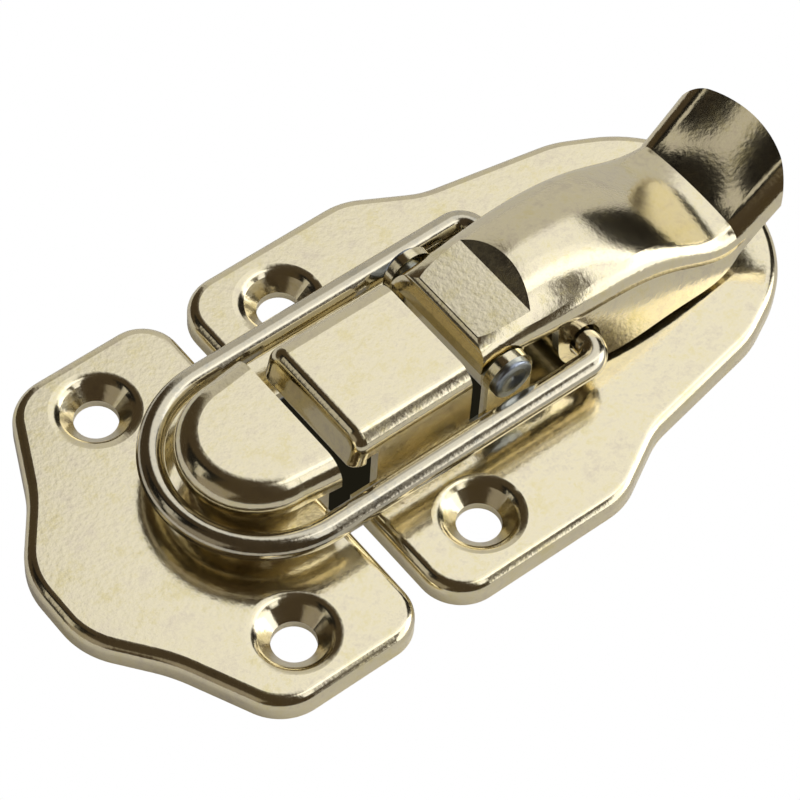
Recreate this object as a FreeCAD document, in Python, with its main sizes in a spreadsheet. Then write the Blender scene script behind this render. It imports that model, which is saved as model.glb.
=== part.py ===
import FreeCAD, Part
import math
import os
import Sketcher
from FreeCAD import Vector

# Suitcase draw latch in brass-plated pressed steel, closed: a hook plate, a base plate
# with a raised tunnel and two ears, a lever on a rivet between the ears, and a wire loop
# that hangs on the lever and reaches round the hook.
# X runs from the hook plate to the lever's tab, Y across, Z up from the mounting face.
# The origin is midway between the base plate's two screw holes, on the mounting face.

SIZES = {
    # sheet that all pressed pieces are made from, and the two plates' turned-down rim
    "sheet": 0.9,
    "plate_height": 2.4,
    "plate_edge_round": 1.1,
    # countersunk screw holes, two in each plate, by their distance from the wing's edge
    "hole_edge": 6.15,
    "screw_rim_radius": 4.25,
    "screw_rim_round": 1.5,
    "screw_hole_radius": 2.05,
    "screw_sink_depth": 1.55,
    "dimple_wall": 0.8,
    "dimple_flare": 0.45,
    # base plate outline, corner by corner from the hook side to the rounded end; an inset is
    # measured from the wing's edge and a setback from the rounded end
    "base_front": 7.9,
    "wing_half": 20.6,
    "base_corner_round": 4.2,
    "shoulder_reach": 11.7,
    "shoulder_round": 7.0,
    "waist_run": 6.7,
    "waist_inset": 3.7,
    "waist_round": 8.0,
    "flank_setback": 10.7,
    "flank_inset": 6.25,
    "flank_round": 10.0,
    "base_end": 42.8,
    "base_end_inset": 11.7,
    "base_end_round": 13.2,
    # hook plate outline, measured from its own row of holes, and its gap to the base plate
    "plate_gap": 2.05,
    "hook_front": 10.4,
    "hook_wing_inset": 0.2,
    "hook_corner_round": 3.8,
    "hook_shoulder_reach": 5.4,
    "hook_shoulder_round": 5.0,
    "hook_waist_run": 4.7,
    "hook_waist_inset": 9.8,
    "hook_waist_round": 16.0,
    "hook_end_run": 4.9,
    "hook_end_inset": 16.1,
    "hook_end_round": 8.0,
    # raised D-shaped hook
    "hook_middle": 6.8,
    "hook_back_setback": 0.12,
    "hook_rise": 7.7,
    "hook_top_half": 5.0,
    "hook_lip_half": 7.2,
    "hook_lip_rise": 4.85,
    "hook_neck_half": 5.9,
    "hook_flare": 0.4,
    "hook_tuck_wall": 0.36,
    # raised tunnel on the base plate, with its front flap
    "box_front_setback": 0.5,
    "box_back": 5.0,
    "box_half": 6.7,
    "box_rise": 7.7,
    "box_round": 1.9,
    "box_front_round": 1.2,
    "flap_rise": 5.0,
    "flap_lean": 0.5,
    "box_slit": 2.0,
    "window_margin": 0.5,
    # lever pivot: rivet and ears
    "pin_reach": 8.7,
    "pin_rise": 5.3,
    "pin_radius": 1.5,
    "pin_fit": 0.05,
    "pin_head_radius": 2.1,
    "pin_head_length": 0.52,
    "pin_dimple_radius": 1.35,
    "pin_dimple_depth": 0.35,
    "pin_edge_round": 0.25,
    "ear_round": 2.5,
    "ear_clearance": 0.25,
    # wire loop
    "wire_radius": 1.25,
    "loop_side_gap": 1.3,
    "loop_lead": 0.75,
    "loop_corner_round": 1.75,
    "bar_reach": 17.5,
    "bar_rise": 3.6,
    "bar_clearance": 0.4,
    # lever: lowered pad at its nose, cheeks and eyes that carry the rivet and the loop
    "nose_front": 6.2,
    "nose_half": 6.3,
    "nose_rise": 6.3,
    "nose_lean": 0.75,
    "nose_face": 1.4,
    "nose_round": 1.05,
    "pad_rise": 8.4,
    "pad_front": 7.55,
    "pad_back_rise": 8.95,
    "pad_back": 12.75,
    "pad_step_run": 1.4,
    "pad_step_rise": 1.9,
    "pad_inside_crown": 30.0,
    "cheek_round": 2.4,
    "flange_rise": 6.5,
    "eye_wall": 1.1,
    "tail_reach": 43.3,
    "tail_bow": 3.3,
    # how far a cutting shape runs past what it cuts
    "overrun": 1.0,
}

# Lever cross-sections. Each holds its half width under the shoulder, top height above the
# plate, radius of the crown and of the shoulder, half width and height of the lower edge.
# A crown below zero is a scoop of that radius, where a thumb lifts the tab.
LEVER_SECTIONS = {
    "nose": (6.3, 8.35, 24.0, 1.7, 6.3, 2.6),
    "step": (6.5, 10.5, 8.6, 2.2, 6.7, 2.0),
    "crown": (6.85, 10.8, 9.0, 2.8, 8.0, 0.8),
    "back": (6.9, 9.8, 12.0, 2.8, 8.5, 0.8),
    "slope": (7.0, 7.2, 20.0, 2.4, 8.3, 0.8),
    "crease": (7.0, 4.5, 40.0, 2.0, 7.3, 1.4),
    "tab": (7.2, 6.8, -30.0, 2.0, 7.25, 4.5),
    "tail": (7.35, 10.2, -24.0, 2.0, 7.4, 7.8),
}
SECTION_FIELDS = ("half", "top", "crown", "round", "foot_half", "foot")
for section, values in LEVER_SECTIONS.items():
    for field, value in zip(SECTION_FIELDS, values):
        SIZES[f"lever_{section}_{field}"] = value

# Where the sections behind the crown stand, as shares of the way from the wire bar to the tail.
LEVER_STATIONS = {"back": 0.23, "slope": 0.44, "crease": 0.7, "tab": 0.845, "tail": 1.0}
for section, share in LEVER_STATIONS.items():
    SIZES[f"lever_{section}_station"] = share

BODY_SECTIONS = ("nose", "step", "crown", "back", "slope", "crease")
TAB_SECTIONS = ("crease", "tab", "tail")
PAD_SECTIONS = ("nose", "step")

doc = FreeCAD.newDocument("SuitcaseLatch")
sheet = doc.addObject("Spreadsheet::Sheet", "Sizes")
for row, (alias, value) in enumerate(SIZES.items(), start=1):
    sheet.set(f"A{row}", alias.replace("_", " "))
    sheet.set(f"B{row}", str(value))
    sheet.setAlias(f"B{row}", alias)
doc.recompute()


class Size:
    """A length that carries its expression, so that one formula gives value and binding."""

    def __init__(self, text, value):
        self.text = text
        self.value = value

    def join(self, other, sign, value):
        return Size(f"({self.text} {sign} {as_size(other).text})", value)

    def __add__(self, other):
        return self.join(other, "+", self.value + as_size(other).value)

    def __sub__(self, other):
        return self.join(other, "-", self.value - as_size(other).value)

    def __mul__(self, other):
        return self.join(other, "*", self.value * as_size(other).value)

    def __truediv__(self, other):
        return self.join(other, "/", self.value / as_size(other).value)

    def __neg__(self):
        return Size(f"(-{self.text})", -self.value)

    def root(self):
        return Size(f"sqrt({self.text})", math.sqrt(self.value))


def as_size(number):
    return number if isinstance(number, Size) else Size(str(number), float(number))


def size(alias):
    return Size(f"Sizes.{alias}", float(sheet.get(alias)))


ZERO = as_size(0)
TOUCH = 1e-5
SINE_45 = math.sin(math.radians(45))


def bind(feature, prop, length):
    feature.setExpression(prop, as_size(length).text)


def new_body(name):
    body = doc.addObject("PartDesign::Body", name)
    body.Label = name
    return body


def new_sketch(body, name, plane, offset=ZERO, rise=ZERO):
    """Sketch on one of the body's origin planes, moved along its normal and up."""
    sketch = body.newObject("Sketcher::SketchObject", name)
    origin_plane = next(item for item in body.Origin.OriginFeatures if item.Role == plane)
    sketch.AttachmentSupport = (origin_plane, [""])
    sketch.MapMode = "FlatFace"
    bind(sketch, ".AttachmentOffset.Base.y", rise)
    bind(sketch, ".AttachmentOffset.Base.z", offset)
    return sketch


def constrain(sketch, constraint, length):
    index = sketch.addConstraint(constraint)
    bind(sketch, f"Constraints[{index}]", length)


def place(sketch, geometry, point, x, y):
    """Fix a point of the sketch at bound distances from the sketch's origin."""
    for kind, axis, length in (("DistanceX", -2, x), ("DistanceY", -1, y)):
        length = as_size(length)
        if length is ZERO:
            sketch.addConstraint(Sketcher.Constraint("PointOnObject", geometry, point, axis))
        elif length.value < 0:
            back = Sketcher.Constraint(kind, geometry, point, -1, 1, -length.value)
            constrain(sketch, back, -length)
        else:
            constrain(sketch, Sketcher.Constraint(kind, -1, 1, geometry, point, length.value), length)


def arc_through(start, end, radius, bulge):
    """Shorter arc between two points; bulge is 1 to the left of the chord, -1 to its right."""
    chord = end - start
    middle = (start + end) * 0.5
    left = Vector(-chord.y, chord.x, 0).normalize()
    sagitta = radius - math.sqrt(max(radius**2 - chord.Length**2 / 4, 0))
    return Part.Arc(start, middle + left * (bulge * sagitta), end)


def outline(sketch, points, arcs=None):
    """Closed outline through points; arcs maps a segment to its radius and bulge."""
    arcs = arcs or {}
    corners = [Vector(as_size(x).value, as_size(y).value, 0) for x, y in points]
    count = len(corners)
    for index, start in enumerate(corners):
        end = corners[(index + 1) % count]
        if index in arcs:
            radius, bulge = arcs[index]
            sketch.addGeometry(arc_through(start, end, radius.value, bulge), False)
        else:
            sketch.addGeometry(Part.LineSegment(start, end), False)
    ends = []
    for index in range(count):
        clockwise = index in arcs and arcs[index][1] > 0
        ends.append((2, 1) if clockwise else (1, 2))
    for index, (x, y) in enumerate(points):
        following = (index + 1) % count
        joint = Sketcher.Constraint("Coincident", index, ends[index][1], following, ends[following][0])
        sketch.addConstraint(joint)
        place(sketch, index, ends[index][0], x, y)
    for index, (radius, _) in arcs.items():
        constrain(sketch, Sketcher.Constraint("Radius", index, radius.value), radius)


def circle(sketch, x, y, radius):
    geometry = sketch.addGeometry(Part.Circle(Vector(x.value, y.value, 0), Vector(0, 0, 1), radius.value))
    place(sketch, geometry, 3, x, y)
    constrain(sketch, Sketcher.Constraint("Radius", geometry, radius.value), radius)


def extrude(body, kind, sketch, length, reverse=False, midplane=False):
    feature = body.newObject(f"PartDesign::{kind}", f"{sketch.Name}_{kind}")
    feature.Profile = sketch
    feature.Reversed = reverse
    feature.Midplane = midplane
    bind(feature, "Length", length)
    doc.recompute()
    return feature


def turn(body, kind, sketch, axis, angle=360):
    feature = body.newObject(f"PartDesign::{kind}", f"{sketch.Name}_{kind}")
    feature.Profile = sketch
    feature.ReferenceAxis = (sketch, [axis])
    feature.Angle = angle
    doc.recompute()
    return feature


def loft(body, kind, sketches):
    feature = body.newObject(f"PartDesign::{kind}", f"{sketches[0].Name}_{kind}")
    feature.Profile = sketches[0]
    feature.Sections = sketches[1:]
    doc.recompute()
    return feature


def mirror(body, features):
    """Repeat features on the other side of the XZ plane."""
    plane = next(item for item in body.Origin.OriginFeatures if item.Role == "XZ_Plane")
    feature = body.newObject("PartDesign::Mirrored", f"{features[0].Name}_Mirror")
    feature.Originals = features
    feature.MirrorPlane = (plane, [""])
    body.Tip = feature
    doc.recompute()
    return feature


def fillet(body, base, test, radius):
    """Round the edges of the last feature that pass a test on their middle and direction."""
    names = [f"Edge{number}" for number, edge in enumerate(base.Shape.Edges, 1) if test(edge)]
    feature = body.newObject("PartDesign::Fillet", f"{base.Name}_Fillet")
    feature.Base = (base, names)
    bind(feature, "Radius", radius)
    doc.recompute()
    return feature


def upright_at(x, y):
    """Test for a vertical edge that stands at a plan position on either side of the middle."""
    def test(edge):
        low, high = edge.Vertexes[0].Point, edge.Vertexes[-1].Point
        upright = math.hypot(high.x - low.x, high.y - low.y) < TOUCH
        return upright and abs(low.x - x.value) < TOUCH and abs(abs(low.y) - y.value) < TOUCH
    return test


def at_level(z):
    """Test for an edge no part of which lies below a height."""
    return lambda edge: edge.BoundBox.ZMin > z.value - TOUCH


def crossing_at(x, z):
    """Test for an edge that runs across at one station along X, above a height."""
    def test(edge):
        box = edge.BoundBox
        return abs(box.XMin - x.value) < TOUCH and abs(box.XMax - x.value) < TOUCH and box.ZMax > z.value
    return test


SHEET = size("sheet")
PLATE_TOP = size("plate_height")
PLATE_UNDER = PLATE_TOP - SHEET
OVERRUN = size("overrun")
PIN_X = size("pin_reach")
PIN_Z = PLATE_TOP + size("pin_rise")
BAR_X = size("bar_reach")
BAR_Z = PLATE_TOP + size("bar_rise")
WIRE = size("wire_radius")
BAR_HOLE = WIRE + size("bar_clearance")
WING = size("wing_half")
HOLE_PITCH = WING - size("hole_edge")
BASE_FRONT = -size("base_front")
BOX_FRONT = BASE_FRONT + size("box_front_setback")
HOOK_FRONT = BASE_FRONT - size("plate_gap")
HOOK_ROW = HOOK_FRONT - size("hook_front")
HOOK_MIDDLE = HOOK_ROW + size("hook_middle")
HOOK_BACK = HOOK_FRONT - size("hook_back_setback")
TAIL = size("tail_reach")


def pressed_plate(body, corners):
    """Plate with a turned-down, rounded rim; corners are (x, half width, corner radius)."""
    sketch = new_sketch(body, f"{body.Name}_outline", "XY_Plane")
    near = [(x, y) for x, y, _ in corners]
    far = [(x, -y) for x, y, _ in reversed(corners)]
    outline(sketch, near + far)
    plate = extrude(body, "Pad", sketch, PLATE_TOP)
    for x, y, radius in corners:
        plate = fillet(body, plate, upright_at(x, y), radius)
    plate = fillet(body, plate, at_level(PLATE_TOP), size("plate_edge_round"))
    hollow = body.newObject("PartDesign::Thickness", f"{body.Name}_hollow")
    under = [f"Face{number}" for number, face in enumerate(plate.Shape.Faces, 1)
             if face.BoundBox.ZMax < TOUCH]
    hollow.Base = (plate, under)
    hollow.Reversed = True
    bind(hollow, "Value", SHEET)
    doc.recompute()
    return hollow


def screw_holes(body, x):
    """Two countersunk holes, each a dimple in the sheet with a plain hole at its bottom."""
    rim = size("screw_rim_radius")
    rounding = size("screw_rim_round")
    rim_run = rounding * SINE_45
    hole = size("screw_hole_radius")
    bottom = PLATE_TOP - size("screw_sink_depth")
    dimple_foot = bottom - size("dimple_wall")
    dimple = new_sketch(body, f"{body.Name}_dimple", "XZ_Plane", -HOLE_PITCH)
    outline(dimple, [(x, PLATE_UNDER), (x + rim + size("dimple_flare"), PLATE_UNDER),
                     (x + hole + SHEET, dimple_foot), (x, dimple_foot)])
    sink = new_sketch(body, f"{body.Name}_sink", "XZ_Plane", -HOLE_PITCH)
    outline(sink, [(x, -OVERRUN), (x + hole, -OVERRUN), (x + hole, bottom),
                   (x + rim - rim_run, PLATE_TOP - rounding + rim_run), (x + rim, PLATE_TOP),
                   (x + rim, PLATE_TOP + OVERRUN), (x, PLATE_TOP + OVERRUN)],
            {3: (rounding, 1)})
    added = turn_about(body, "Revolution", dimple, x)
    cut = turn_about(body, "Groove", sink, x)
    mirror(body, [added, cut])


def turn_about(body, kind, sketch, x):
    """Full turn of a sketch about the upright line at x in the sketch's own plane."""
    foot, head = Vector(x.value, 0, 0), Vector(x.value, OVERRUN.value, 0)
    line = sketch.addGeometry(Part.LineSegment(foot, head), True)
    sketch.addConstraint(Sketcher.Constraint("Vertical", line))
    place(sketch, line, 1, x, ZERO)
    constrain(sketch, Sketcher.Constraint("Distance", line, OVERRUN.value), OVERRUN)
    feature = body.newObject(f"PartDesign::{kind}", f"{sketch.Name}_{kind}")
    feature.Profile = sketch
    feature.ReferenceAxis = (sketch, ["Axis0"])
    feature.Angle = 360
    doc.recompute()
    return feature


def plate_window(body, name, front, back, half):
    """Rectangle cut through the plate where a raised form is pressed out of it."""
    sketch = new_sketch(body, name, "XY_Plane", -OVERRUN)
    outline(sketch, [(front, half), (front, -half), (back, -half), (back, half)])
    return extrude(body, "Pocket", sketch, PLATE_TOP + OVERRUN * 2, reverse=True)


def hook_profile(body, name, x, flare):
    """Half section of the hook's wall: flat top, round shoulder, lip and narrower neck."""
    top = PLATE_TOP + size("hook_rise")
    top_half = size("hook_top_half")
    lip_half = size("hook_lip_half") + flare
    shoulder = size("hook_lip_half") - top_half
    lip = PLATE_TOP + size("hook_lip_rise")
    neck_half = size("hook_neck_half")
    tuck = size("hook_lip_half") - neck_half
    tuck_wall = size("hook_tuck_wall")
    sketch = new_sketch(body, name, "YZ_Plane", x)
    outline(sketch, [
        (ZERO, top), (top_half + flare, top), (lip_half, top - shoulder), (lip_half, lip),
        (neck_half, lip - tuck), (neck_half, PLATE_UNDER),
        (neck_half - SHEET, PLATE_UNDER), (neck_half - SHEET, lip - tuck + tuck_wall),
        (lip_half - SHEET, lip + tuck_wall), (lip_half - SHEET, top - shoulder),
        (top_half + flare, top - SHEET), (ZERO, top - SHEET),
    ], {1: (shoulder, 1), 9: (shoulder - SHEET, -1)})
    return sketch


def make_hook_plate():
    """Plate with a D-shaped hook, open at its straight back, that the loop reaches round."""
    body = new_body("hook_plate")
    wing = WING - size("hook_wing_inset")
    shoulder = HOOK_ROW - size("hook_shoulder_reach")
    waist = shoulder - size("hook_waist_run")
    pressed_plate(body, [
        (HOOK_FRONT, wing, size("hook_corner_round")),
        (shoulder, wing, size("hook_shoulder_round")),
        (waist, wing - size("hook_waist_inset"), size("hook_waist_round")),
        (waist - size("hook_end_run"), wing - size("hook_end_inset"), size("hook_end_round")),
    ])
    screw_holes(body, HOOK_ROW)
    half = size("hook_neck_half") - SHEET / 2
    opening = new_sketch(body, "hook_opening", "XY_Plane", -OVERRUN)
    outline(opening, [(HOOK_MIDDLE, half), (HOOK_MIDDLE - half, ZERO), (HOOK_MIDDLE, -half),
                      (HOOK_FRONT + OVERRUN, -half), (HOOK_FRONT + OVERRUN, half)],
            {0: (half, -1), 1: (half, -1)})
    extrude(body, "Pocket", opening, PLATE_TOP + OVERRUN * 2, reverse=True)
    at_middle = hook_profile(body, "hook_section", HOOK_MIDDLE, ZERO)
    turn(body, "Revolution", at_middle, "V_Axis", 180)
    side = hook_profile(body, "hook_side", HOOK_MIDDLE, ZERO)
    back = hook_profile(body, "hook_back_edge", HOOK_BACK, size("hook_flare"))
    wall = loft(body, "AdditiveLoft", [side, back])
    mirror(body, [wall])
    return body


def arch(body, name, x, half, top, radius, foot):
    """Section of a tunnel with rounded shoulders."""
    sketch = new_sketch(body, name, "YZ_Plane", x)
    outline(sketch, [(-half, foot), (-half, top - radius), (-(half - radius), top),
                     (half - radius, top), (half, top - radius), (half, foot)],
            {1: (radius, 1), 3: (radius, 1)})
    return sketch


def make_base_plate():
    """Plate with a hollow tunnel whose front is turned down as a flap, and two ears."""
    body = new_body("base_plate")
    shoulder = size("shoulder_reach")
    base_end = size("base_end")
    pressed_plate(body, [
        (BASE_FRONT, WING, size("base_corner_round")),
        (shoulder, WING, size("shoulder_round")),
        (shoulder + size("waist_run"), WING - size("waist_inset"), size("waist_round")),
        (base_end - size("flank_setback"), WING - size("flank_inset"), size("flank_round")),
        (base_end, WING - size("base_end_inset"), size("base_end_round")),
    ])
    screw_holes(body, ZERO)
    box_back = size("box_back")
    half = size("box_half")
    top = PLATE_TOP + size("box_rise")
    flap = PLATE_TOP + size("flap_rise")
    round_side = size("box_round")
    round_front = size("box_front_round")
    ear_inside = size("nose_half") + size("ear_clearance")
    ear_round = size("ear_round")
    window_margin = size("window_margin")
    window_half = half - window_margin
    window_end = PIN_X + ear_round + window_margin
    plate_window(body, "box_window", BASE_FRONT - OVERRUN, window_end, window_half)
    lean = size("flap_lean")
    shell = arch(body, "box_section", BOX_FRONT - lean, half, top, round_side, PLATE_UNDER)
    extrude(body, "Pad", shell, box_back - BOX_FRONT + lean)
    face = new_sketch(body, "flap_face", "XZ_Plane")
    outline(face, [(BOX_FRONT, top), (BOX_FRONT - lean, flap), (BOX_FRONT - lean - OVERRUN, flap),
                   (BOX_FRONT - lean - OVERRUN, top)])
    box = extrude(body, "Pocket", face, WING * 2, midplane=True)
    fillet(body, box, crossing_at(BOX_FRONT, PLATE_TOP), round_front)
    inner = arch(body, "box_inside", box_back + OVERRUN, half - SHEET, top - SHEET,
                 round_side - SHEET, -OVERRUN)
    extrude(body, "Pocket", inner, box_back + OVERRUN - BOX_FRONT - SHEET)
    back = new_sketch(body, "flap_back", "XZ_Plane")
    outline(back, [(BOX_FRONT + SHEET, top - SHEET), (BOX_FRONT + SHEET - lean, flap),
                   (BOX_FRONT + SHEET, flap)])
    extrude(body, "Pocket", back, (half - SHEET) * 2, midplane=True)
    slit_back = BOX_FRONT + size("box_slit")
    slit = new_sketch(body, "flap_slit", "XZ_Plane")
    outline(slit, [(BOX_FRONT - lean - OVERRUN, PLATE_TOP), (slit_back, PLATE_TOP),
                   (slit_back, flap), (BOX_FRONT - lean - OVERRUN, flap)])
    extrude(body, "Pocket", slit, (half + OVERRUN) * 2, midplane=True)
    plate_window(body, "mouth", BASE_FRONT - OVERRUN, slit_back, window_half)
    ear = new_sketch(body, "ear_side", "XZ_Plane", -(ear_inside + SHEET))
    outline(ear, [(PIN_X - ear_round, PLATE_UNDER), (PIN_X - ear_round, PIN_Z),
                  (PIN_X, PIN_Z + ear_round), (PIN_X + ear_round, PIN_Z),
                  (PIN_X + ear_round, PLATE_UNDER)],
            {1: (ear_round, 1), 2: (ear_round, 1)})
    tab = extrude(body, "Pad", ear, SHEET)
    bore = new_sketch(body, "ear_bore", "XZ_Plane", -(ear_inside + SHEET + OVERRUN))
    circle(bore, PIN_X, PIN_Z, size("pin_radius"))
    hole = extrude(body, "Pocket", bore, SHEET + OVERRUN + size("ear_clearance"), reverse=True)
    mirror(body, [tab, hole])
    return body


def channel(body, name, section, inset=ZERO):
    """Lever section: crowned top, round shoulders and side walls; inset gives the hollow.

    The crown and shoulder arcs touch without a corner: their centres lie as far apart as
    their radii differ, or as they add up where the crown is a scoop, and the arcs meet on
    the line through both centres.
    """
    inside = inset is not ZERO
    if section in LEVER_STATIONS:
        reach = BAR_X + (TAIL + OVERRUN - BAR_X) * size(f"lever_{section}_station")
    else:
        reach = {"nose": size("nose_front"), "step": size("pad_back"), "crown": BAR_X}[section]
    half = size(f"lever_{section}_half") - inset
    top = PLATE_TOP + size(f"lever_{section}_top") - inset
    crown = size(f"lever_{section}_crown") - inset
    shoulder = size(f"lever_{section}_round") - inset
    foot_half = size(f"lever_{section}_foot_half") - inset
    foot = PLATE_TOP + size(f"lever_{section}_foot")
    if inside and section in PAD_SECTIONS:
        slope = (size("pad_back_rise") - size("pad_rise")) / (size("pad_back") - size("pad_front"))
        reach = reach + SHEET if section == "nose" else reach
        top = PLATE_TOP + size("pad_rise") + (reach - size("pad_front")) * slope - inset
        crown = size("pad_inside_crown")
    apart = crown - shoulder
    aside = half - shoulder
    drop = (apart * apart - aside * aside).root()
    scooped = crown.value < 0
    if scooped:
        drop = -drop
    shoulder_level = top - crown + drop
    meet_y = aside * crown / apart
    meet_z = top - crown + drop * crown / apart
    if inside:
        splay = (foot_half - half) / (shoulder_level - foot)
        foot_half = foot_half + splay * OVERRUN
        foot = foot - OVERRUN
    sketch = new_sketch(body, name, "YZ_Plane", reach)
    outline(sketch, [(-foot_half, foot), (-half, shoulder_level), (-meet_y, meet_z),
                     (meet_y, meet_z), (half, shoulder_level), (foot_half, foot)],
            {1: (shoulder, 1), 2: (-crown, -1) if scooped else (crown, 1), 3: (shoulder, 1)})
    return sketch


def make_lever():
    """Hollow pressed lever: lowered pad at the nose, crowned back, splayed skirts, lifted tab."""
    body = new_body("lever")
    loft(body, "AdditiveLoft", [channel(body, f"body_{name}", name) for name in BODY_SECTIONS])
    loft(body, "AdditiveLoft", [channel(body, f"tab_{name}", name) for name in TAB_SECTIONS])
    front = size("nose_front")
    nose_low = PLATE_TOP + size("nose_rise")
    pad_front = PLATE_TOP + size("pad_rise")
    pad_back = PLATE_TOP + size("pad_back_rise")
    width = WING * 2
    sky = pad_back + size("pad_step_rise")
    pad = new_sketch(body, "pad_cut", "XZ_Plane")
    outline(pad, [(front - OVERRUN, nose_low), (front, nose_low),
                  (front + size("nose_lean"), nose_low + size("nose_face")),
                  (size("pad_front"), pad_front), (size("pad_back"), pad_back),
                  (size("pad_back") + size("pad_step_run"), sky), (front - OVERRUN, sky)],
            {2: (size("nose_round"), 1)})
    extrude(body, "Pocket", pad, width, midplane=True)
    for form, names in (("body", BODY_SECTIONS), ("tab", TAB_SECTIONS)):
        hollow = [channel(body, f"{form}_hollow_{name}", name, SHEET) for name in names]
        loft(body, "SubtractiveLoft", hollow)
    flange = PLATE_TOP + size("flange_rise")
    cheek = size("cheek_round")
    eye = BAR_HOLE + size("eye_wall")
    floor = PLATE_TOP - OVERRUN
    trim = new_sketch(body, "flange_trim", "XZ_Plane")
    outline(trim, [
        (front - OVERRUN, nose_low), (PIN_X - cheek, nose_low), (PIN_X - cheek, PIN_Z),
        (PIN_X, PIN_Z - cheek), (PIN_X + cheek, PIN_Z), (PIN_X + cheek, flange),
        (BAR_X - eye, flange), (BAR_X - eye, BAR_Z), (BAR_X, BAR_Z - eye),
        (BAR_X, floor), (front - OVERRUN, floor),
    ], {2: (cheek, -1), 3: (cheek, -1), 7: (eye, -1)})
    extrude(body, "Pocket", trim, width, midplane=True)
    bores = new_sketch(body, "lever_bores", "XZ_Plane")
    circle(bores, PIN_X, PIN_Z, size("pin_radius") + size("pin_fit"))
    circle(bores, BAR_X, BAR_Z, BAR_HOLE)
    extrude(body, "Pocket", bores, width, midplane=True)
    corner = size("lever_tail_half") + OVERRUN
    bow = size("tail_bow")
    end = new_sketch(body, "tail_end", "XY_Plane")
    radius = (corner * corner + bow * bow) / (bow * 2)
    outline(end, [(TAIL - bow, -corner), (TAIL - bow, corner),
                  (TAIL + OVERRUN * 2, corner), (TAIL + OVERRUN * 2, -corner)],
            {0: (radius, -1)})
    extrude(body, "Pocket", end, width, reverse=True)
    return body


def make_draw_loop():
    """Closed loop of round wire: half circle at the hook, straight sides, bar in the lever."""
    body = new_body("draw_loop")
    side = size("hook_lip_half") + size("loop_side_gap") + WIRE
    corner = size("loop_corner_round")
    turn_x = HOOK_MIDDLE + size("loop_lead")
    path = new_sketch(body, "loop_path", "XY_Plane", BAR_Z)
    stations = [(turn_x - side, ZERO), (turn_x, side), (BAR_X - corner, side),
                (BAR_X, side - corner), (BAR_X, ZERO)]
    points = [Vector(x.value, y.value, 0) for x, y in stations]
    path.addGeometry(arc_through(points[0], points[1], side.value, 1))
    path.addGeometry(Part.LineSegment(points[1], points[2]))
    path.addGeometry(arc_through(points[2], points[3], corner.value, 1))
    path.addGeometry(Part.LineSegment(points[3], points[4]))
    ends = [(2, 1), (1, 2), (2, 1), (1, 2)]
    for index in range(3):
        path.addConstraint(Sketcher.Constraint("Coincident", index, ends[index][1],
                                               index + 1, ends[index + 1][0]))
    for index, (x, y) in enumerate(stations[:4]):
        place(path, index, ends[index][0], x, y)
    place(path, 3, 2, *stations[4])
    constrain(path, Sketcher.Constraint("Radius", 0, side.value), side)
    constrain(path, Sketcher.Constraint("Radius", 2, corner.value), corner)
    section = new_sketch(body, "wire_section", "XZ_Plane")
    circle(section, turn_x - side, BAR_Z, WIRE)
    pipe = body.newObject("PartDesign::AdditivePipe", "wire")
    pipe.Profile = section
    pipe.Spine = path
    doc.recompute()
    mirror(body, [pipe])
    return body


def make_pivot_pin():
    """Rivet through both ears and the lever, with a dished head at each end."""
    body = new_body("pivot_pin")
    ear_outside = size("nose_half") + size("ear_clearance") + SHEET
    end = ear_outside + size("pin_head_length")
    shaft = size("pin_radius")
    head = size("pin_head_radius")
    edge = size("pin_edge_round")
    section = new_sketch(body, "pin_section", "YZ_Plane", PIN_X, PIN_Z)
    outline(section, [(ZERO, ZERO), (ZERO, shaft), (ear_outside, shaft), (ear_outside, head),
                      (end - edge, head), (end, head - edge), (end, size("pin_dimple_radius")),
                      (end - size("pin_dimple_depth"), ZERO)], {4: (edge, 1)})
    half = turn(body, "Revolution", section, "H_Axis")
    mirror(body, [half])
    return body


bodies = [make_hook_plate(), make_base_plate(), make_lever(), make_draw_loop(), make_pivot_pin()]
doc.recompute()

for item in doc.Objects:
    if "Invalid" in item.State or "Error" in item.State:
        raise RuntimeError(f"{item.Name} failed: {item.State}")
for body in bodies:
    if body.Shape.isNull() or not body.Shape.isValid() or len(body.Shape.Solids) != 1:
        raise RuntimeError(f"{body.Label} is not one valid solid")

os.makedirs("parts", exist_ok=True)
for body in bodies:
    body.Shape.exportStep(f"parts/{body.Label}.step")
    box = body.Shape.BoundBox
    print(f"{body.Label}: {body.Shape.Volume:.1f} mm3, "
          f"X {box.XMin:.2f} to {box.XMax:.2f}, Y {box.YMin:.2f} to {box.YMax:.2f}, "
          f"Z {box.ZMin:.2f} to {box.ZMax:.2f}")
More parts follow.
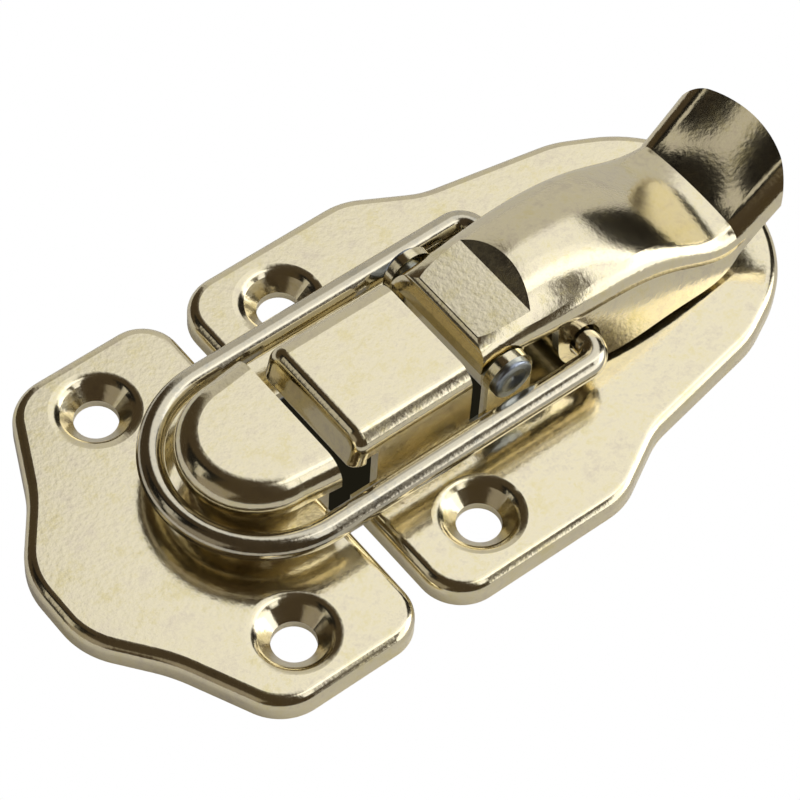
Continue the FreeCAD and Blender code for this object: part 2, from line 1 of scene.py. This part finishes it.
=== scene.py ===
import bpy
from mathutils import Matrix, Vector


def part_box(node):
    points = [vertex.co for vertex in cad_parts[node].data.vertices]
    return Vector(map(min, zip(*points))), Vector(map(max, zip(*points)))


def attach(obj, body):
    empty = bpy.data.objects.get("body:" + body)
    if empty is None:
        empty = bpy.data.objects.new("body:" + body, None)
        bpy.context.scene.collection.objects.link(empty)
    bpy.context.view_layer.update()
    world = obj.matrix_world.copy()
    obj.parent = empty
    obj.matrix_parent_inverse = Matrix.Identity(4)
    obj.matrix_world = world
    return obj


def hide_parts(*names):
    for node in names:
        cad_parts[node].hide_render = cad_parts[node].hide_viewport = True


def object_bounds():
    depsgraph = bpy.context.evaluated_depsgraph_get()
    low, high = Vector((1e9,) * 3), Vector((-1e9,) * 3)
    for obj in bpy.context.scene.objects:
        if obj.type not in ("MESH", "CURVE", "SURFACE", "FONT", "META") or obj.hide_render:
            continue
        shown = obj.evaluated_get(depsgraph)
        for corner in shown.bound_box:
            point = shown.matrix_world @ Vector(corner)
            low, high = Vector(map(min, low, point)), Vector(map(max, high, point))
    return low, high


bl_info = {
    "name": "Suitcase Draw Latch",
    "version": (1, 0, 0),
    "blender": (4, 5, 0),
    "location": "View3D > Sidebar > Latch",
    "description": "Brass-plated draw latch with its wire loop, rivet and studio stage",
    "category": "Add Mesh",
}

import math

import bpy
import numpy as np
from bpy.props import FloatProperty, IntProperty, PointerProperty, StringProperty
from mathutils import Matrix, Vector

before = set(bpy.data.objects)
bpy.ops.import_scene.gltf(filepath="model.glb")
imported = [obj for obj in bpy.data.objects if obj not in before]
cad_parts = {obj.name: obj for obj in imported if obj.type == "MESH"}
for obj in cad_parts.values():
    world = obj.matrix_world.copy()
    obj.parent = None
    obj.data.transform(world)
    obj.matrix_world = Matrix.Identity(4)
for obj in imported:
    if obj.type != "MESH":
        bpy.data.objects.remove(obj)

CAD_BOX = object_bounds()
MM = 0.001
TAU = 2 * math.pi
WHITE = "#FFFFFF"

PLATED_NODES = ("hook_plate", "base_plate", "lever")

# Panels of the studio room: name, colour, brightness, and left, right, near and far edges on the
# disc of directions with the softness of those edges. A later panel covers an earlier one.
ROOM_COLOUR = "#453B2D"
ROOM_PANELS = (
    ("left wall", "#8F877A", 1.0, (-1.5, -0.60, -0.35, 0.62, 0.05)),
    ("dark screen", "#1D1B18", 1.0, (-0.64, -0.22, 0.10, 0.60, 0.05)),
    ("end of the screen", "#1D1B18", 1.0, (-0.93, -0.60, 0.35, 0.48, 0.03)),
    ("left reflector", "#B3AFA6", 1.2, (-0.74, -0.375, 0.245, 0.385, 0.012)),
    ("pale far wall", "#C4C1BA", 1.0, (0.22, 1.5, -0.26, 1.5, 0.04)),
    ("overhead softbox", WHITE, 0.97, (0.155, 0.62, -0.28, 0.38, 0.055)),
    ("softbox bright end", WHITE, 1.5, (0.08, 0.60, -0.28, -0.10, 0.05)),
    ("softbox wing", WHITE, 1.2, (0.08, 0.25, -0.62, -0.30, 0.03)),
    ("dark stand", "#24211C", 1.0, (0.62, 1.05, -0.09, 0.37, 0.045)),
    ("near side lamp", WHITE, 1.5, (0.345, 0.95, -0.90, -0.54, 0.02)),
    ("near side lamp edge", WHITE, 1.3, (0.38, 0.95, -0.60, -0.30, 0.03)),
    ("near side lamp head", WHITE, 2.0, (0.60, 0.95, -0.60, -0.14, 0.04)),
)

# The disc divides by the square root of 1 + Z, and this keeps it above zero straight down.
ABOVE_STRAIGHT_DOWN = 1.001

# Strip of floor under the tunnel and the hook where shade is painted, as a dark colour that
# only the camera sees: left, right, near and far edges and their softness, in metres.
PAINTED_SHADE_STRIP = (-18.5 * MM, 13.0 * MM, -7.2 * MM, 7.2 * MM, 0.4 * MM)
PAINTED_SHADE_STRIP_COLOUR = "#1C1A12"

# Floor, camera and lamps, in metres.
FLOOR_HALF = 0.6
LOOK_AT = Vector((1.90 * MM, -0.82 * MM, 2.4 * MM))
OVERHEAD_PLACE = Vector((0.20, -0.06, 0.30))
OVERHEAD_SIZE = (0.16, 0.30)
SIDE_PLACE = Vector((0.24, -0.16, 0.10))
SIDE_SIZE = (0.16, 0.08)
CLIP_NEAR = 0.01
CLIP_FAR = 10.0

SENSOR_MM = 36.0
FRAME_PX = 800

# Noise values between which the lacquer is rose, plain and green.
FULL_ROSE = 0.35
PLAIN_START = 0.49
PLAIN_END = 0.52
FULL_GREEN = 0.65

# Colour sockets of a Mix node, which come after those for numbers and vectors.
MIX_FIRST = 6
MIX_SECOND = 7
MIX_RESULT = 2


def linear(hex_colour):
    """Linear RGBA of an sRGB hex colour such as "#E8D9A0"."""
    channels = []
    for start in (1, 3, 5):
        value = int(hex_colour[start:start + 2], 16) / 255
        low = value / 12.92
        high = ((value + 0.055) / 1.055) ** 2.4
        channels.append(low if value <= 0.04045 else high)
    return (*channels, 1.0)


def add_node(tree, kind, settings=None, values=None, links=None):
    """Adds a shader node, sets its properties and sockets, and links sources to its inputs."""
    node = tree.nodes.new(kind)
    for name, value in (settings or {}).items():
        setattr(node, name, value)
    for name, value in (values or {}).items():
        node.inputs[name].default_value = value
    for name, source in (links or {}).items():
        tree.links.new(source, node.inputs[name])
    return node


def new_material(name):
    """Material with an empty node tree."""
    material = bpy.data.materials.new(name)
    material.use_nodes = True
    material.node_tree.nodes.clear()
    return material


def colour_steps(ramp_node, steps):
    """Fills a colour ramp with (position, hex colour) pairs."""
    ramp = ramp_node.color_ramp
    while len(ramp.elements) < len(steps):
        ramp.elements.new(1.0)
    for element, (position, hex_colour) in zip(ramp.elements, steps):
        element.position = position
        element.color = linear(hex_colour)


def bright_brass_plating(name, look, patch_mm, tints):
    """Bright brass electroplate on pressed steel, tumbled and lacquered.

    The brass layer copies the steel's faint orange peel, so reflections are soft and
    mottled, and the thin lacquer gives it slow drifts towards rose and green. The tints are
    the rose, the plain and the green one.
    """
    rose, plain, green = tints
    material = new_material(name)
    tree = material.node_tree
    where = add_node(tree, "ShaderNodeTexCoord").outputs["Object"]
    patches = add_node(tree, "ShaderNodeTexNoise",
                       values={"Scale": 1 / (patch_mm * MM), "Detail": 6.0, "Roughness": 0.85},
                       links={"Vector": where})
    tint = add_node(tree, "ShaderNodeValToRGB", links={"Fac": patches.outputs["Fac"]})
    colour_steps(tint, [(FULL_ROSE, rose), (PLAIN_START, plain), (PLAIN_END, plain),
                        (FULL_GREEN, green)])
    peel = add_node(tree, "ShaderNodeTexNoise",
                    values={"Scale": 1 / (look.peel_mm * MM), "Detail": 2.0, "Roughness": 0.5},
                    links={"Vector": where})
    gloss = add_node(tree, "ShaderNodeMapRange",
                     values={"From Min": 0.3, "From Max": 0.7,
                             "To Min": look.gloss_roughness, "To Max": look.dull_roughness},
                     links={"Value": patches.outputs["Fac"]})
    bump = add_node(tree, "ShaderNodeBump",
                    values={"Strength": look.peel_strength, "Distance": look.peel_depth_mm * MM},
                    links={"Height": peel.outputs["Fac"]})
    metal = add_node(tree, "ShaderNodeBsdfPrincipled",
                     values={"Metallic": 1.0},
                     links={"Base Color": tint.outputs["Color"],
                            "Roughness": gloss.outputs["Result"],
                            "Normal": bump.outputs["Normal"]})
    add_node(tree, "ShaderNodeOutputMaterial", links={"Surface": metal.outputs["BSDF"]})
    return material


def satin_steel(look):
    """Cold-headed mild steel, unplated: grey-blue, satin, with fine marks from the heading tool."""
    material = new_material("satin_mild_steel")
    tree = material.node_tree
    where = add_node(tree, "ShaderNodeTexCoord").outputs["Object"]
    marks = add_node(tree, "ShaderNodeTexNoise",
                     values={"Scale": 1 / (look.steel_mark_mm * MM), "Detail": 2.0, "Roughness": 0.5},
                     links={"Vector": where})
    tint = add_node(tree, "ShaderNodeValToRGB", links={"Fac": marks.outputs["Fac"]})
    colour_steps(tint, [(0.3, look.steel_dark_colour), (0.7, look.steel_colour)])
    bump = add_node(tree, "ShaderNodeBump",
                    values={"Strength": look.steel_mark_strength,
                            "Distance": look.steel_mark_depth_mm * MM},
                    links={"Height": marks.outputs["Fac"]})
    metal = add_node(tree, "ShaderNodeBsdfPrincipled",
                     values={"Metallic": 1.0, "Roughness": look.steel_roughness},
                     links={"Base Color": tint.outputs["Color"],
                            "Normal": bump.outputs["Normal"]})
    add_node(tree, "ShaderNodeOutputMaterial", links={"Surface": metal.outputs["BSDF"]})
    return material


def set_material(piece, material):
    """Makes a material the only one of a piece."""
    piece.data.materials.clear()
    piece.data.materials.append(material)


def grid_faces(rows, columns, closed_rows, closed_columns):
    """Quads between neighbouring rows and columns of a grid of points numbered row by row."""
    row = np.arange(rows if closed_rows else rows - 1)
    column = np.arange(columns if closed_columns else columns - 1)
    r0, c0 = np.meshgrid(row, column, indexing="ij")
    r1 = (r0 + 1) % rows
    c1 = (c0 + 1) % columns
    corners = [r0 * columns + c0, r1 * columns + c0, r1 * columns + c1, r0 * columns + c1]
    return np.stack(corners, axis=-1).reshape(-1, 4)


def surface(name, points, closed_rows=False, closed_columns=False, flat_ends=False):
    """Smooth mesh object from a grid of points, in metres, whose end rows may get flat faces."""
    rows, columns = points.shape[:2]
    sides = grid_faces(rows, columns, closed_rows, closed_columns).tolist()
    last_row = (rows - 1) * columns
    ends = [list(range(columns)), list(range(last_row + columns - 1, last_row - 1, -1))]
    faces = sides + ends if flat_ends else sides
    mesh = bpy.data.meshes.new(name)
    mesh.from_pydata(points.reshape(-1, 3).tolist(), [], faces)
    mesh.polygons.foreach_set("use_smooth", np.arange(len(faces)) < len(sides))
    mesh.update()
    piece = bpy.data.objects.new(name, mesh)
    bpy.context.scene.collection.objects.link(piece)
    return piece


def loop_path(wire):
    """Centre line of the wire loop in plan, its outward directions, its height and wire radius.

    Half a circle at the hook's end, two straight sides, two quarter circles and a straight
    bar at the lever's end, all in one level plane.
    """
    low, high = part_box("draw_loop")
    radius = (high.z - low.z) / 2
    level = (high.z + low.z) / 2
    half = (high.y - low.y) / 2 - radius
    left = low.x + radius
    bar = high.x - radius
    corner = wire.corner_radius
    turn = left + half
    arc = np.linspace(math.pi / 2, 3 * math.pi / 2, wire.steps_round_turn)
    turn_points = np.stack([turn + half * np.cos(arc), half * np.sin(arc)], axis=1)
    down = np.linspace(-math.pi / 2, 0, wire.steps_round_corner)
    low_corner = np.stack([bar - corner + corner * np.cos(down),
                           -half + corner + corner * np.sin(down)], axis=1)
    up = np.linspace(0, math.pi / 2, wire.steps_round_corner)
    high_corner = np.stack([bar - corner + corner * np.cos(up),
                            half - corner + corner * np.sin(up)], axis=1)
    plan = np.concatenate([turn_points, low_corner, high_corner])
    outward = np.concatenate([
        np.stack([np.cos(arc), np.sin(arc)], axis=1),
        np.stack([np.cos(down), np.sin(down)], axis=1),
        np.stack([np.cos(up), np.sin(up)], axis=1),
    ])
    return plan, outward, level, radius


def loop_points(wire):
    """Grid of points on the wire loop: a circle round each point of the centre line."""
    plan, outward, level, radius = loop_path(wire)
    round_wire = np.linspace(0, TAU, wire.steps_round_wire, endpoint=False)
    side = radius * np.cos(round_wire)
    rise = radius * np.sin(round_wire)
    points = np.empty((len(plan), len(round_wire), 3))
    points[:, :, 0] = plan[:, None, 0] + outward[:, None, 0] * side[None, :]
    points[:, :, 1] = plan[:, None, 1] + outward[:, None, 1] * side[None, :]
    points[:, :, 2] = level + rise[None, :]
    return points


def flap_plan(flap):
    """Corner centres of the tunnel's flap seen from above, and its outward directions.

    The front is straight between two quarter circles, and the points run from the near side
    to the far side.
    """
    turn = np.linspace(0, math.pi / 2, flap.steps_round_corner)
    near = np.stack([-np.sin(turn), -np.cos(turn)], axis=1)
    far = np.stack([-np.cos(turn), np.sin(turn)], axis=1)
    outward = np.concatenate([near, far])
    side = np.repeat([-1.0, 1.0], len(turn))
    centre = np.stack([np.full(len(side), flap.front + flap.corner_radius),
                       side * (flap.half_width - flap.corner_radius)], axis=1)
    return centre, outward


def flap_lip_points(flap):
    """Grid of points on the flap's lip: one section of the sheet at each point of the plan.

    The section runs down the outside, round the half circle of the lower edge and up the
    inside. It leans forward like the flap, and its lean grows with the square of the drop.
    """
    centre, outward = flap_plan(flap)
    edge = flap.sheet / 2
    straight = np.linspace(0, flap.drop - edge, flap.steps_down)
    turn = np.linspace(0, math.pi, 2 * flap.steps_down)[1:-1]
    inset = np.concatenate([np.zeros(len(straight)), edge * (1 - np.cos(turn)),
                            np.full(len(straight), flap.sheet)])
    down = np.concatenate([straight, flap.drop - edge + edge * np.sin(turn), straight[::-1]])
    forward = flap.slope * down + flap.curl * (down / flap.drop) ** 2
    reach = flap.corner_radius - inset
    points = np.empty((len(outward), len(down), 3))
    points[:, :, 0] = centre[:, None, 0] + outward[:, None, 0] * (reach + forward)[None, :]
    points[:, :, 1] = centre[:, None, 1] + outward[:, None, 1] * reach[None, :]
    points[:, :, 2] = flap.edge_height - down[None, :]
    return points


class LatchPlating(bpy.types.PropertyGroup):
    """Looks of the brass plating and of the rivet's steel"""
    plating_colour: StringProperty(
        name="Plating", description="Bright brass seen square on, as an sRGB hex colour",
        default="#F0E6C7")
    rose_colour: StringProperty(
        name="Rose drift", description="Where the lacquer turns the brass towards rose",
        default="#E2D7BF")
    green_colour: StringProperty(
        name="Green drift", description="Where the lacquer turns the brass towards green",
        default="#EDE1B4")
    wire_colour: StringProperty(
        name="Wire", description="Thinner, paler plating of the drawn wire",
        default="#D8D0BA")
    wire_dull_colour: StringProperty(
        name="Dull wire", description="Wire where the steel greys the thin plating",
        default="#C3BFB1")
    gloss_roughness: FloatProperty(
        name="Gloss roughness", description="Roughness of the most polished patches",
        default=0.10, min=0.0, max=1.0)
    dull_roughness: FloatProperty(
        name="Dull roughness", description="Roughness of the least polished patches",
        default=0.18, min=0.0, max=1.0)
    plate_patch_mm: FloatProperty(
        name="Patch size", description="Size of the sheets' mottled patches, in millimetres",
        default=3.0, min=0.1)
    wire_patch_mm: FloatProperty(
        name="Wire patch size", description="Size of the wire's mottled patches, in millimetres",
        default=2.0, min=0.1)
    peel_mm: FloatProperty(
        name="Orange peel size", description="Size of the orange peel, in millimetres",
        default=0.45, min=0.05)
    peel_depth_mm: FloatProperty(
        name="Orange peel depth", description="Height of the orange peel, in millimetres",
        default=0.02, min=0.0)
    peel_strength: FloatProperty(
        name="Orange peel strength", description="How strongly the peel bends reflections",
        default=0.5, min=0.0, max=1.0)
    steel_colour: StringProperty(
        name="Steel", description="Rivet steel where it is cleanest, as an sRGB hex colour",
        default="#B9C1CC")
    steel_dark_colour: StringProperty(
        name="Dark steel", description="Rivet steel in its tool marks",
        default="#9AA3B2")
    steel_roughness: FloatProperty(
        name="Steel roughness", description="Roughness of the rivet's satin steel",
        default=0.28, min=0.0, max=1.0)
    steel_mark_mm: FloatProperty(
        name="Tool mark size", description="Size of the rivet's tool marks, in millimetres",
        default=0.8, min=0.05)
    steel_mark_depth_mm: FloatProperty(
        name="Tool mark depth", description="Depth of the tool marks, in millimetres",
        default=0.01, min=0.0)
    steel_mark_strength: FloatProperty(
        name="Tool mark strength", description="How strongly the marks bend reflections",
        default=0.15, min=0.0, max=1.0)


class LatchWire(bpy.types.PropertyGroup):
    """Bend and fineness of the wire loop, whose size comes from the frame"""
    corner_radius: FloatProperty(
        name="Corner radius", description="Bend of the wire's centre line at the lever",
        default=1.75 * MM, min=0.0, unit="LENGTH")
    steps_round_turn: IntProperty(
        name="Steps round the turn", description="Points round the half circle at the hook",
        default=96, min=8)
    steps_round_corner: IntProperty(
        name="Steps round a corner", description="Points round each corner at the lever",
        default=24, min=4)
    steps_round_wire: IntProperty(
        name="Steps round the wire", description="Points round the wire's section",
        default=40, min=8)


class LatchFlap(bpy.types.PropertyGroup):
    """Place and shape of the lip below the tunnel's front flap"""
    front: FloatProperty(
        name="Front", description="Front of the tunnel's flap at its lower edge, along X",
        default=-7.9 * MM, unit="LENGTH")
    edge_height: FloatProperty(
        name="Edge height", description="Height of the flap's lower edge, where the lip starts",
        default=7.4 * MM, unit="LENGTH")
    half_width: FloatProperty(
        name="Half width", description="Half of the flap's width", default=6.7 * MM, unit="LENGTH")
    corner_radius: FloatProperty(
        name="Corner radius", description="Bend between the flap and the tunnel's sides",
        default=1.2 * MM, unit="LENGTH")
    sheet: FloatProperty(
        name="Sheet", description="Thickness of the pressed sheet", default=0.9 * MM, unit="LENGTH")
    drop: FloatProperty(
        name="Drop", description="How far the lip reaches down", default=1.05 * MM, unit="LENGTH")
    slope: FloatProperty(
        name="Slope", description="Forward lean of the flap for each length of drop", default=0.185)
    curl: FloatProperty(
        name="Curl", description="How far the lip's lower edge curls forward beyond that lean",
        default=0.14 * MM, unit="LENGTH")
    steps_round_corner: IntProperty(
        name="Steps round a corner", description="Points round each corner of the flap",
        default=16, min=4)
    steps_down: IntProperty(
        name="Steps down", description="Points from the lip's top to its lower edge",
        default=12, min=4)


class LatchStage(bpy.types.PropertyGroup):
    """Camera, floor and light"""
    azimuth: FloatProperty(
        name="Azimuth", description="Camera direction round the latch, 0 looks along +Y",
        default=math.radians(-41.78), subtype="ANGLE")
    elevation: FloatProperty(
        name="Elevation", description="Camera height above the horizon",
        default=math.radians(54.44), subtype="ANGLE")
    roll: FloatProperty(
        name="Roll", description="Turn of the camera about its own line of sight",
        default=math.radians(4.17), subtype="ANGLE")
    distance: FloatProperty(
        name="Distance", description="From the camera to the point that it looks at",
        default=320.2 * MM, unit="LENGTH")
    focal_px: FloatProperty(
        name="Focal length", description="Focal length in pixels of an 800 pixel frame",
        default=3600.0)
    floor_colour: StringProperty(
        name="Floor", description="Pale floor, as an sRGB hex colour", default="#F4F3F0")
    table_glow: FloatProperty(
        name="Table glow", description="How bright the light table looks in reflections",
        default=0.14, min=0.0)
    key_watts: FloatProperty(
        name="Overhead softbox", description="Power of the large lamp overhead, in watts",
        default=0.02, min=0.0)
    side_watts: FloatProperty(
        name="Side softbox", description="Power of the lamp at the near side, in watts",
        default=0.01, min=0.0)
    room_strength: FloatProperty(
        name="Room light", description="Strength of the panelled room round the stage",
        default=1.0, min=0.0)


class LATCH_OT_pressed_pieces(bpy.types.Operator):
    """Finish the two plates and the lever in bright brass plating"""
    bl_idname = "latch.pressed_pieces"
    bl_label = "Plated Pressings"

    def execute(self, context):
        look = context.scene.latch_plating
        tints = (look.rose_colour, look.plating_colour, look.green_colour)
        plating = bright_brass_plating("bright_brass_plated_sheet", look, look.plate_patch_mm, tints)
        for name in PLATED_NODES:
            set_material(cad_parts[name], plating)
        return {"FINISHED"}


class LATCH_OT_flap_lip(bpy.types.Operator):
    """Carry the tunnel's front flap down to the back of the hook"""
    bl_idname = "latch.flap_lip"
    bl_label = "Flap Lip"

    def execute(self, context):
        points = flap_lip_points(context.scene.latch_flap)
        piece = surface("tunnel_flap_lip", points, flat_ends=True)
        set_material(piece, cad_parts["base_plate"].data.materials[0])
        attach(piece, "plates")
        return {"FINISHED"}


class LATCH_OT_draw_loop(bpy.types.Operator):
    """Sweep the round wire of the draw loop along its path"""
    bl_idname = "latch.draw_loop"
    bl_label = "Draw Loop"

    def execute(self, context):
        look = context.scene.latch_plating
        points = loop_points(context.scene.latch_wire)
        piece = surface("draw_loop_wire", points, closed_rows=True, closed_columns=True)
        tints = (look.wire_dull_colour, look.wire_colour, look.wire_colour)
        plating = bright_brass_plating("bright_brass_plated_wire", look, look.wire_patch_mm, tints)
        set_material(piece, plating)
        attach(piece, "loop")
        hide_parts("draw_loop")
        return {"FINISHED"}


class LATCH_OT_pivot_rivet(bpy.types.Operator):
    """Finish the rivet between the ears in satin steel"""
    bl_idname = "latch.pivot_rivet"
    bl_label = "Pivot Rivet"

    def execute(self, context):
        set_material(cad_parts["pivot_pin"], satin_steel(context.scene.latch_plating))
        return {"FINISHED"}


def soft_panel(tree, across, along, panel):
    """Mask of a soft-edged rectangle over two coordinates, 1 inside and 0 outside."""
    left, right, near, far, edge = panel
    masks = []
    for coordinate, low, high in ((across, left, right), (along, near, far)):
        for middle, first, last in ((low, 0.0, 1.0), (high, 1.0, 0.0)):
            fade = add_node(tree, "ShaderNodeMapRange", settings={"interpolation_type": "SMOOTHSTEP"},
                            values={"From Min": middle - edge, "From Max": middle + edge,
                                    "To Min": first, "To Max": last},
                            links={"Value": coordinate})
            masks.append(fade.outputs["Result"])
    while len(masks) > 1:
        both = add_node(tree, "ShaderNodeMath", settings={"operation": "MULTIPLY"},
                        links={0: masks.pop(), 1: masks.pop()})
        masks.append(both.outputs[0])
    return masks[0]


def pale_floor_material(stage):
    """White light table: plain white to the camera, and a dimmer glow in the latch's reflections.

    The camera also sees through the tunnel's mouth and the gap before it to a strip of the
    table that is masked off and painted dark, a painted shade in place of the shadow there.
    """
    material = new_material("white_light_table")
    tree = material.node_tree
    sheet = add_node(tree, "ShaderNodeBsdfDiffuse", values={"Color": linear(stage.floor_colour)})
    glow = add_node(tree, "ShaderNodeEmission",
                    values={"Color": linear(WHITE), "Strength": stage.table_glow})
    lit = add_node(tree, "ShaderNodeAddShader", links={0: sheet.outputs[0], 1: glow.outputs[0]})
    white = add_node(tree, "ShaderNodeEmission", values={"Color": linear(WHITE), "Strength": 1.0})
    # Painted shade: a dark emission that the camera sees on the strip under the latch.
    shade = add_node(tree, "ShaderNodeEmission",
                     values={"Color": linear(PAINTED_SHADE_STRIP_COLOUR), "Strength": 1.0})
    where = add_node(tree, "ShaderNodeTexCoord").outputs["Object"]
    parts = add_node(tree, "ShaderNodeSeparateXYZ", links={"Vector": where})
    covered = soft_panel(tree, parts.outputs["X"], parts.outputs["Y"], PAINTED_SHADE_STRIP)
    seen = add_node(tree, "ShaderNodeMixShader",
                    links={0: covered, 1: white.outputs[0], 2: shade.outputs[0]})
    path = add_node(tree, "ShaderNodeLightPath")
    mixed = add_node(tree, "ShaderNodeMixShader",
                     links={0: path.outputs["Is Camera Ray"], 1: lit.outputs[0], 2: seen.outputs[0]})
    add_node(tree, "ShaderNodeOutputMaterial", links={"Surface": mixed.outputs[0]})
    return material


def studio_world(strength):
    """Dim room with soft panels round it, and plain white to the camera.

    Directions are laid out on a disc of equal area seen from above, with straight up in the
    middle and the horizon at radius 1, and each panel is a rectangle on that disc.
    """
    world = bpy.data.worlds.new("studio_room")
    bpy.context.scene.world = world
    world.use_nodes = True
    tree = world.node_tree
    tree.nodes.clear()
    where = add_node(tree, "ShaderNodeTexCoord").outputs["Generated"]
    parts = add_node(tree, "ShaderNodeSeparateXYZ", links={"Vector": where})
    raised = add_node(tree, "ShaderNodeMath", settings={"operation": "ADD"},
                      values={1: ABOVE_STRAIGHT_DOWN}, links={0: parts.outputs["Z"]})
    stretch = add_node(tree, "ShaderNodeMath", settings={"operation": "SQRT"},
                       links={0: raised.outputs[0]})
    across, along = [
        add_node(tree, "ShaderNodeMath", settings={"operation": "DIVIDE"},
                 links={0: parts.outputs[axis], 1: stretch.outputs[0]}).outputs[0]
        for axis in ("X", "Y")]
    colour = None
    for name, hex_colour, power, panel in ROOM_PANELS:
        red, green, blue, _ = linear(hex_colour)
        layer = add_node(tree, "ShaderNodeMix", settings={"data_type": "RGBA", "label": name},
                         values={MIX_FIRST: linear(ROOM_COLOUR),
                                 MIX_SECOND: (red * power, green * power, blue * power, 1.0)},
                         links={0: soft_panel(tree, across, along, panel)})
        if colour:
            tree.links.new(colour, layer.inputs[MIX_FIRST])
        colour = layer.outputs[MIX_RESULT]
    room = add_node(tree, "ShaderNodeBackground", values={"Strength": strength},
                    links={"Color": colour})
    white = add_node(tree, "ShaderNodeBackground", values={"Color": linear(WHITE), "Strength": 1.0})
    path = add_node(tree, "ShaderNodeLightPath")
    mixed = add_node(tree, "ShaderNodeMixShader",
                     links={0: path.outputs["Is Camera Ray"], 1: room.outputs[0],
                            2: white.outputs[0]})
    add_node(tree, "ShaderNodeOutputWorld", links={"Surface": mixed.outputs[0]})


def softbox(name, place, target, size, watts):
    """Soft rectangular lamp, by its width and depth in metres, that faces a target."""
    lamp = bpy.data.lights.new(name, "AREA")
    lamp.shape = "RECTANGLE"
    lamp.size, lamp.size_y = size
    lamp.energy = watts
    holder = bpy.data.objects.new(name, lamp)
    holder.location = place
    holder.rotation_euler = (target - place).to_track_quat("-Z", "Y").to_euler()
    bpy.context.scene.collection.objects.link(holder)


def photograph_camera(stage):
    """Camera on a line from its target, by azimuth and elevation, then rolled about that line."""
    camera = bpy.data.cameras.new("camera")
    camera.sensor_width = SENSOR_MM
    camera.lens = stage.focal_px / FRAME_PX * SENSOR_MM
    camera.clip_start = CLIP_NEAR
    camera.clip_end = CLIP_FAR
    holder = bpy.data.objects.new("camera", camera)
    back = Vector((math.sin(stage.azimuth) * math.cos(stage.elevation),
                   -math.cos(stage.azimuth) * math.cos(stage.elevation),
                   math.sin(stage.elevation)))
    facing = (-back).to_track_quat("-Z", "Y").to_matrix().to_4x4()
    roll = Matrix.Rotation(stage.roll, 4, "Z")
    holder.matrix_world = Matrix.Translation(LOOK_AT + back * stage.distance) @ facing @ roll
    bpy.context.scene.collection.objects.link(holder)
    bpy.context.scene.camera = holder


class LATCH_OT_stage(bpy.types.Operator):
    """Set up the floor, the soft lamps, the room and the camera"""
    bl_idname = "latch.stage"
    bl_label = "Studio Stage"

    def execute(self, context):
        stage = context.scene.latch_stage
        low, high = CAD_BOX
        mesh = bpy.data.meshes.new("floor")
        corners = [(-FLOOR_HALF, -FLOOR_HALF, low.z), (FLOOR_HALF, -FLOOR_HALF, low.z),
                   (FLOOR_HALF, FLOOR_HALF, low.z), (-FLOOR_HALF, FLOOR_HALF, low.z)]
        mesh.from_pydata(corners, [], [(0, 1, 2, 3)])
        floor = bpy.data.objects.new("floor", mesh)
        context.scene.collection.objects.link(floor)
        set_material(floor, pale_floor_material(stage))
        centre = (low + high) / 2
        softbox("overhead_softbox", OVERHEAD_PLACE, centre, OVERHEAD_SIZE, stage.key_watts)
        softbox("side_softbox", SIDE_PLACE, centre, SIDE_SIZE, stage.side_watts)
        studio_world(stage.room_strength)
        photograph_camera(stage)
        context.scene.view_settings.view_transform = "Standard"
        return {"FINISHED"}


class LATCH_PT_sidebar(bpy.types.Panel):
    """Lists the operators that make the latch and its stage"""
    bl_idname = "LATCH_PT_sidebar"
    bl_label = "Draw Latch"
    bl_space_type = "VIEW_3D"
    bl_region_type = "UI"
    bl_category = "Latch"

    def draw(self, context):
        for operator in OPERATORS:
            self.layout.operator(operator.bl_idname)


SETTINGS = {"latch_plating": LatchPlating, "latch_wire": LatchWire, "latch_flap": LatchFlap,
            "latch_stage": LatchStage}
OPERATORS = (LATCH_OT_pressed_pieces, LATCH_OT_flap_lip, LATCH_OT_draw_loop,
             LATCH_OT_pivot_rivet, LATCH_OT_stage)


def register():
    for group in SETTINGS.values():
        bpy.utils.register_class(group)
    for name, group in SETTINGS.items():
        setattr(bpy.types.Scene, name, PointerProperty(type=group))
    for operator in OPERATORS:
        bpy.utils.register_class(operator)
    bpy.utils.register_class(LATCH_PT_sidebar)


def unregister():
    bpy.utils.unregister_class(LATCH_PT_sidebar)
    for operator in reversed(OPERATORS):
        bpy.utils.unregister_class(operator)
    for name in SETTINGS:
        delattr(bpy.types.Scene, name)
    for group in reversed(SETTINGS.values()):
        bpy.utils.unregister_class(group)


def main():
    register()
    bpy.ops.latch.pressed_pieces()
    bpy.ops.latch.flap_lip()
    bpy.ops.latch.draw_loop()
    bpy.ops.latch.pivot_rivet()
    bpy.ops.latch.stage()


if __name__ == "__main__":
    main()
